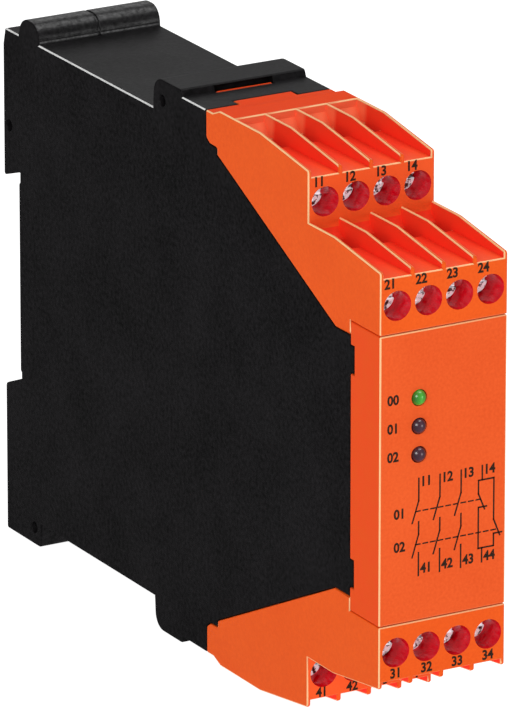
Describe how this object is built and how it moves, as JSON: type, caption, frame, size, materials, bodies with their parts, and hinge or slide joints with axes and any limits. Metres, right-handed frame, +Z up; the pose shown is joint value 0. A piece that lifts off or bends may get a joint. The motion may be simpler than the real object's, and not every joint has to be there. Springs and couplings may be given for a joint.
{
  "type": "safety relay",
  "caption": "Slim rail-mounted safety relay with a black case, orange stepped terminal covers with screw clamps above and below, and a front plate with status lamps.",
  "frame": {"origin": "middle of the flat seat that lies against the front of the 35 mm rail", "axes": "+X across the width, to the right as seen from the front; +Y back towards the rail; +Z up"},
  "size_m": [0.0226, 0.1219, 0.0924],
  "materials": {
    "black_plastic": "fine matt moulded polyamide, black",
    "orange_plastic": "satin moulded polyamide, orange-red",
    "plate_plastic": "satin moulded polyamide, orange-red, printed in black",
    "latch_plastic": "matt moulded polyamide, black",
    "spring_steel": "drawn spring wire",
    "board": "glass fibre board with green solder mask",
    "relay_plastic": "sealed relay cover, pale grey",
    "transformer_iron": "stacked iron core with a moulded bobbin",
    "capacitor_sleeve": "shrink sleeve over an aluminium can",
    "green_lamp": "clear green diffused resin, lit",
    "dark_lamp": "red-brown diffused resin, unlit",
    "contact_metal": "tinned brass strip",
    "screw_steel": "bright zinc plated steel",
    "cage_steel": "zinc plated steel"
  },
  "bodies": {
    "housing": {"case": "black_plastic", "terminal_cover_upper": "orange_plastic", "terminal_cover_lower": "orange_plastic", "front_plate": "plate_plastic", "lamp_supply": "green_lamp", "lamp_channel_1": "dark_lamp", "lamp_channel_2": "dark_lamp", "contact_bars_upper_rear": "contact_metal", "contact_bars_upper_front": "contact_metal", "contact_bars_lower_rear": "contact_metal", "contact_bars_lower_front": "contact_metal", "main_board": "board", "terminal_board_upper": "board", "terminal_board_lower": "board", "display_board": "board", "relay_1": "relay_plastic", "relay_2": "relay_plastic", "transformer": "transformer_iron", "capacitor": "capacitor_sleeve", "latch_spring": "spring_steel"},
    "latch": {"rail_latch": "latch_plastic"},
    "screw_upper_rear_1": {"clamp_screw_upper_rear_1": "screw_steel"},
    "cage_upper_rear_1": {"clamp_cage_upper_rear_1": "cage_steel"},
    "screw_upper_rear_2": {"clamp_screw_upper_rear_2": "screw_steel"},
    "cage_upper_rear_2": {"clamp_cage_upper_rear_2": "cage_steel"},
    "screw_upper_rear_3": {"clamp_screw_upper_rear_3": "screw_steel"},
    "cage_upper_rear_3": {"clamp_cage_upper_rear_3": "cage_steel"},
    "screw_upper_rear_4": {"clamp_screw_upper_rear_4": "screw_steel"},
    "cage_upper_rear_4": {"clamp_cage_upper_rear_4": "cage_steel"},
    "screw_upper_front_1": {"clamp_screw_upper_front_1": "screw_steel"},
    "cage_upper_front_1": {"clamp_cage_upper_front_1": "cage_steel"},
    "screw_upper_front_2": {"clamp_screw_upper_front_2": "screw_steel"},
    "cage_upper_front_2": {"clamp_cage_upper_front_2": "cage_steel"},
    "screw_upper_front_3": {"clamp_screw_upper_front_3": "screw_steel"},
    "cage_upper_front_3": {"clamp_cage_upper_front_3": "cage_steel"},
    "screw_upper_front_4": {"clamp_screw_upper_front_4": "screw_steel"},
    "cage_upper_front_4": {"clamp_cage_upper_front_4": "cage_steel"},
    "screw_lower_rear_1": {"clamp_screw_lower_rear_1": "screw_steel"},
    "cage_lower_rear_1": {"clamp_cage_lower_rear_1": "cage_steel"},
    "screw_lower_rear_2": {"clamp_screw_lower_rear_2": "screw_steel"},
    "cage_lower_rear_2": {"clamp_cage_lower_rear_2": "cage_steel"},
    "screw_lower_rear_3": {"clamp_screw_lower_rear_3": "screw_steel"},
    "cage_lower_rear_3": {"clamp_cage_lower_rear_3": "cage_steel"},
    "screw_lower_rear_4": {"clamp_screw_lower_rear_4": "screw_steel"},
    "cage_lower_rear_4": {"clamp_cage_lower_rear_4": "cage_steel"},
    "screw_lower_front_1": {"clamp_screw_lower_front_1": "screw_steel"},
    "cage_lower_front_1": {"clamp_cage_lower_front_1": "cage_steel"},
    "screw_lower_front_2": {"clamp_screw_lower_front_2": "screw_steel"},
    "cage_lower_front_2": {"clamp_cage_lower_front_2": "cage_steel"},
    "screw_lower_front_3": {"clamp_screw_lower_front_3": "screw_steel"},
    "cage_lower_front_3": {"clamp_cage_lower_front_3": "cage_steel"},
    "screw_lower_front_4": {"clamp_screw_lower_front_4": "screw_steel"},
    "cage_lower_front_4": {"clamp_cage_lower_front_4": "cage_steel"}
  },
  "joints": [
    {"name": "rail_latch_slide", "type": "slide", "parent": "housing", "child": "latch", "axis": [0, 0, -1], "range_m": [0, 0.003], "stiffness_N_per_m": 2000, "springref_m": -0.002, "deforming": ["latch_spring"]},
    {"name": "screw_upper_rear_1_turn", "type": "hinge", "parent": "housing", "child": "screw_upper_rear_1", "pos_m": [-0.00825, -0.0868, 0.0386], "axis": [0, 1, 0], "range_deg": [0, 1800]},
    {"name": "cage_upper_rear_1_lift", "type": "slide", "parent": "housing", "child": "cage_upper_rear_1", "axis": [0, -1, 0], "range_m": [0, 0.0025]},
    {"name": "screw_upper_rear_2_turn", "type": "hinge", "parent": "housing", "child": "screw_upper_rear_2", "pos_m": [-0.00275, -0.0868, 0.0386], "axis": [0, 1, 0], "range_deg": [0, 1800]},
    {"name": "cage_upper_rear_2_lift", "type": "slide", "parent": "housing", "child": "cage_upper_rear_2", "axis": [0, -1, 0], "range_m": [0, 0.0025]},
    {"name": "screw_upper_rear_3_turn", "type": "hinge", "parent": "housing", "child": "screw_upper_rear_3", "pos_m": [0.00275, -0.0868, 0.0386], "axis": [0, 1, 0], "range_deg": [0, 1800]},
    {"name": "cage_upper_rear_3_lift", "type": "slide", "parent": "housing", "child": "cage_upper_rear_3", "axis": [0, -1, 0], "range_m": [0, 0.0025]},
    {"name": "screw_upper_rear_4_turn", "type": "hinge", "parent": "housing", "child": "screw_upper_rear_4", "pos_m": [0.00825, -0.0868, 0.0386], "axis": [0, 1, 0], "range_deg": [0, 1800]},
    {"name": "cage_upper_rear_4_lift", "type": "slide", "parent": "housing", "child": "cage_upper_rear_4", "axis": [0, -1, 0], "range_m": [0, 0.0025]},
    {"name": "screw_upper_front_1_turn", "type": "hinge", "parent": "housing", "child": "screw_upper_front_1", "pos_m": [-0.00825, -0.1088, 0.0281], "axis": [0, 1, 0], "range_deg": [0, 1800]},
    {"name": "cage_upper_front_1_lift", "type": "slide", "parent": "housing", "child": "cage_upper_front_1", "axis": [0, -1, 0], "range_m": [0, 0.0025]},
    {"name": "screw_upper_front_2_turn", "type": "hinge", "parent": "housing", "child": "screw_upper_front_2", "pos_m": [-0.00275, -0.1088, 0.0281], "axis": [0, 1, 0], "range_deg": [0, 1800]},
    {"name": "cage_upper_front_2_lift", "type": "slide", "parent": "housing", "child": "cage_upper_front_2", "axis": [0, -1, 0], "range_m": [0, 0.0025]},
    {"name": "screw_upper_front_3_turn", "type": "hinge", "parent": "housing", "child": "screw_upper_front_3", "pos_m": [0.00275, -0.1088, 0.0281], "axis": [0, 1, 0], "range_deg": [0, 1800]},
    {"name": "cage_upper_front_3_lift", "type": "slide", "parent": "housing", "child": "cage_upper_front_3", "axis": [0, -1, 0], "range_m": [0, 0.0025]},
    {"name": "screw_upper_front_4_turn", "type": "hinge", "parent": "housing", "child": "screw_upper_front_4", "pos_m": [0.00825, -0.1088, 0.0281], "axis": [0, 1, 0], "range_deg": [0, 1800]},
    {"name": "cage_upper_front_4_lift", "type": "slide", "parent": "housing", "child": "cage_upper_front_4", "axis": [0, -1, 0], "range_m": [0, 0.0025]},
    {"name": "screw_lower_rear_1_turn", "type": "hinge", "parent": "housing", "child": "screw_lower_rear_1", "pos_m": [-0.00825, -0.0868, -0.0386], "axis": [0, 1, 0], "range_deg": [0, 1800]},
    {"name": "cage_lower_rear_1_lift", "type": "slide", "parent": "housing", "child": "cage_lower_rear_1", "axis": [0, -1, 0], "range_m": [0, 0.0025]},
    {"name": "screw_lower_rear_2_turn", "type": "hinge", "parent": "housing", "child": "screw_lower_rear_2", "pos_m": [-0.00275, -0.0868, -0.0386], "axis": [0, 1, 0], "range_deg": [0, 1800]},
    {"name": "cage_lower_rear_2_lift", "type": "slide", "parent": "housing", "child": "cage_lower_rear_2", "axis": [0, -1, 0], "range_m": [0, 0.0025]},
    {"name": "screw_lower_rear_3_turn", "type": "hinge", "parent": "housing", "child": "screw_lower_rear_3", "pos_m": [0.00275, -0.0868, -0.0386], "axis": [0, 1, 0], "range_deg": [0, 1800]},
    {"name": "cage_lower_rear_3_lift", "type": "slide", "parent": "housing", "child": "cage_lower_rear_3", "axis": [0, -1, 0], "range_m": [0, 0.0025]},
    {"name": "screw_lower_rear_4_turn", "type": "hinge", "parent": "housing", "child": "screw_lower_rear_4", "pos_m": [0.00825, -0.0868, -0.0386], "axis": [0, 1, 0], "range_deg": [0, 1800]},
    {"name": "cage_lower_rear_4_lift", "type": "slide", "parent": "housing", "child": "cage_lower_rear_4", "axis": [0, -1, 0], "range_m": [0, 0.0025]},
    {"name": "screw_lower_front_1_turn", "type": "hinge", "parent": "housing", "child": "screw_lower_front_1", "pos_m": [-0.00825, -0.1088, -0.0281], "axis": [0, 1, 0], "range_deg": [0, 1800]},
    {"name": "cage_lower_front_1_lift", "type": "slide", "parent": "housing", "child": "cage_lower_front_1", "axis": [0, -1, 0], "range_m": [0, 0.0025]},
    {"name": "screw_lower_front_2_turn", "type": "hinge", "parent": "housing", "child": "screw_lower_front_2", "pos_m": [-0.00275, -0.1088, -0.0281], "axis": [0, 1, 0], "range_deg": [0, 1800]},
    {"name": "cage_lower_front_2_lift", "type": "slide", "parent": "housing", "child": "cage_lower_front_2", "axis": [0, -1, 0], "range_m": [0, 0.0025]},
    {"name": "screw_lower_front_3_turn", "type": "hinge", "parent": "housing", "child": "screw_lower_front_3", "pos_m": [0.00275, -0.1088, -0.0281], "axis": [0, 1, 0], "range_deg": [0, 1800]},
    {"name": "cage_lower_front_3_lift", "type": "slide", "parent": "housing", "child": "cage_lower_front_3", "axis": [0, -1, 0], "range_m": [0, 0.0025]},
    {"name": "screw_lower_front_4_turn", "type": "hinge", "parent": "housing", "child": "screw_lower_front_4", "pos_m": [0.00825, -0.1088, -0.0281], "axis": [0, 1, 0], "range_deg": [0, 1800]},
    {"name": "cage_lower_front_4_lift", "type": "slide", "parent": "housing", "child": "cage_lower_front_4", "axis": [0, -1, 0], "range_m": [0, 0.0025]}
  ],
  "couplings": [
    {"joint": "screw_upper_rear_1_turn", "follows": "cage_upper_rear_1_lift", "rad_per_m": 12566},
    {"joint": "screw_upper_rear_2_turn", "follows": "cage_upper_rear_2_lift", "rad_per_m": 12566},
    {"joint": "screw_upper_rear_3_turn", "follows": "cage_upper_rear_3_lift", "rad_per_m": 12566},
    {"joint": "screw_upper_rear_4_turn", "follows": "cage_upper_rear_4_lift", "rad_per_m": 12566},
    {"joint": "screw_upper_front_1_turn", "follows": "cage_upper_front_1_lift", "rad_per_m": 12566},
    {"joint": "screw_upper_front_2_turn", "follows": "cage_upper_front_2_lift", "rad_per_m": 12566},
    {"joint": "screw_upper_front_3_turn", "follows": "cage_upper_front_3_lift", "rad_per_m": 12566},
    {"joint": "screw_upper_front_4_turn", "follows": "cage_upper_front_4_lift", "rad_per_m": 12566},
    {"joint": "screw_lower_rear_1_turn", "follows": "cage_lower_rear_1_lift", "rad_per_m": 12566},
    {"joint": "screw_lower_rear_2_turn", "follows": "cage_lower_rear_2_lift", "rad_per_m": 12566},
    {"joint": "screw_lower_rear_3_turn", "follows": "cage_lower_rear_3_lift", "rad_per_m": 12566},
    {"joint": "screw_lower_rear_4_turn", "follows": "cage_lower_rear_4_lift", "rad_per_m": 12566},
    {"joint": "screw_lower_front_1_turn", "follows": "cage_lower_front_1_lift", "rad_per_m": 12566},
    {"joint": "screw_lower_front_2_turn", "follows": "cage_lower_front_2_lift", "rad_per_m": 12566},
    {"joint": "screw_lower_front_3_turn", "follows": "cage_lower_front_3_lift", "rad_per_m": 12566},
    {"joint": "screw_lower_front_4_turn", "follows": "cage_lower_front_4_lift", "rad_per_m": 12566}
  ]
}
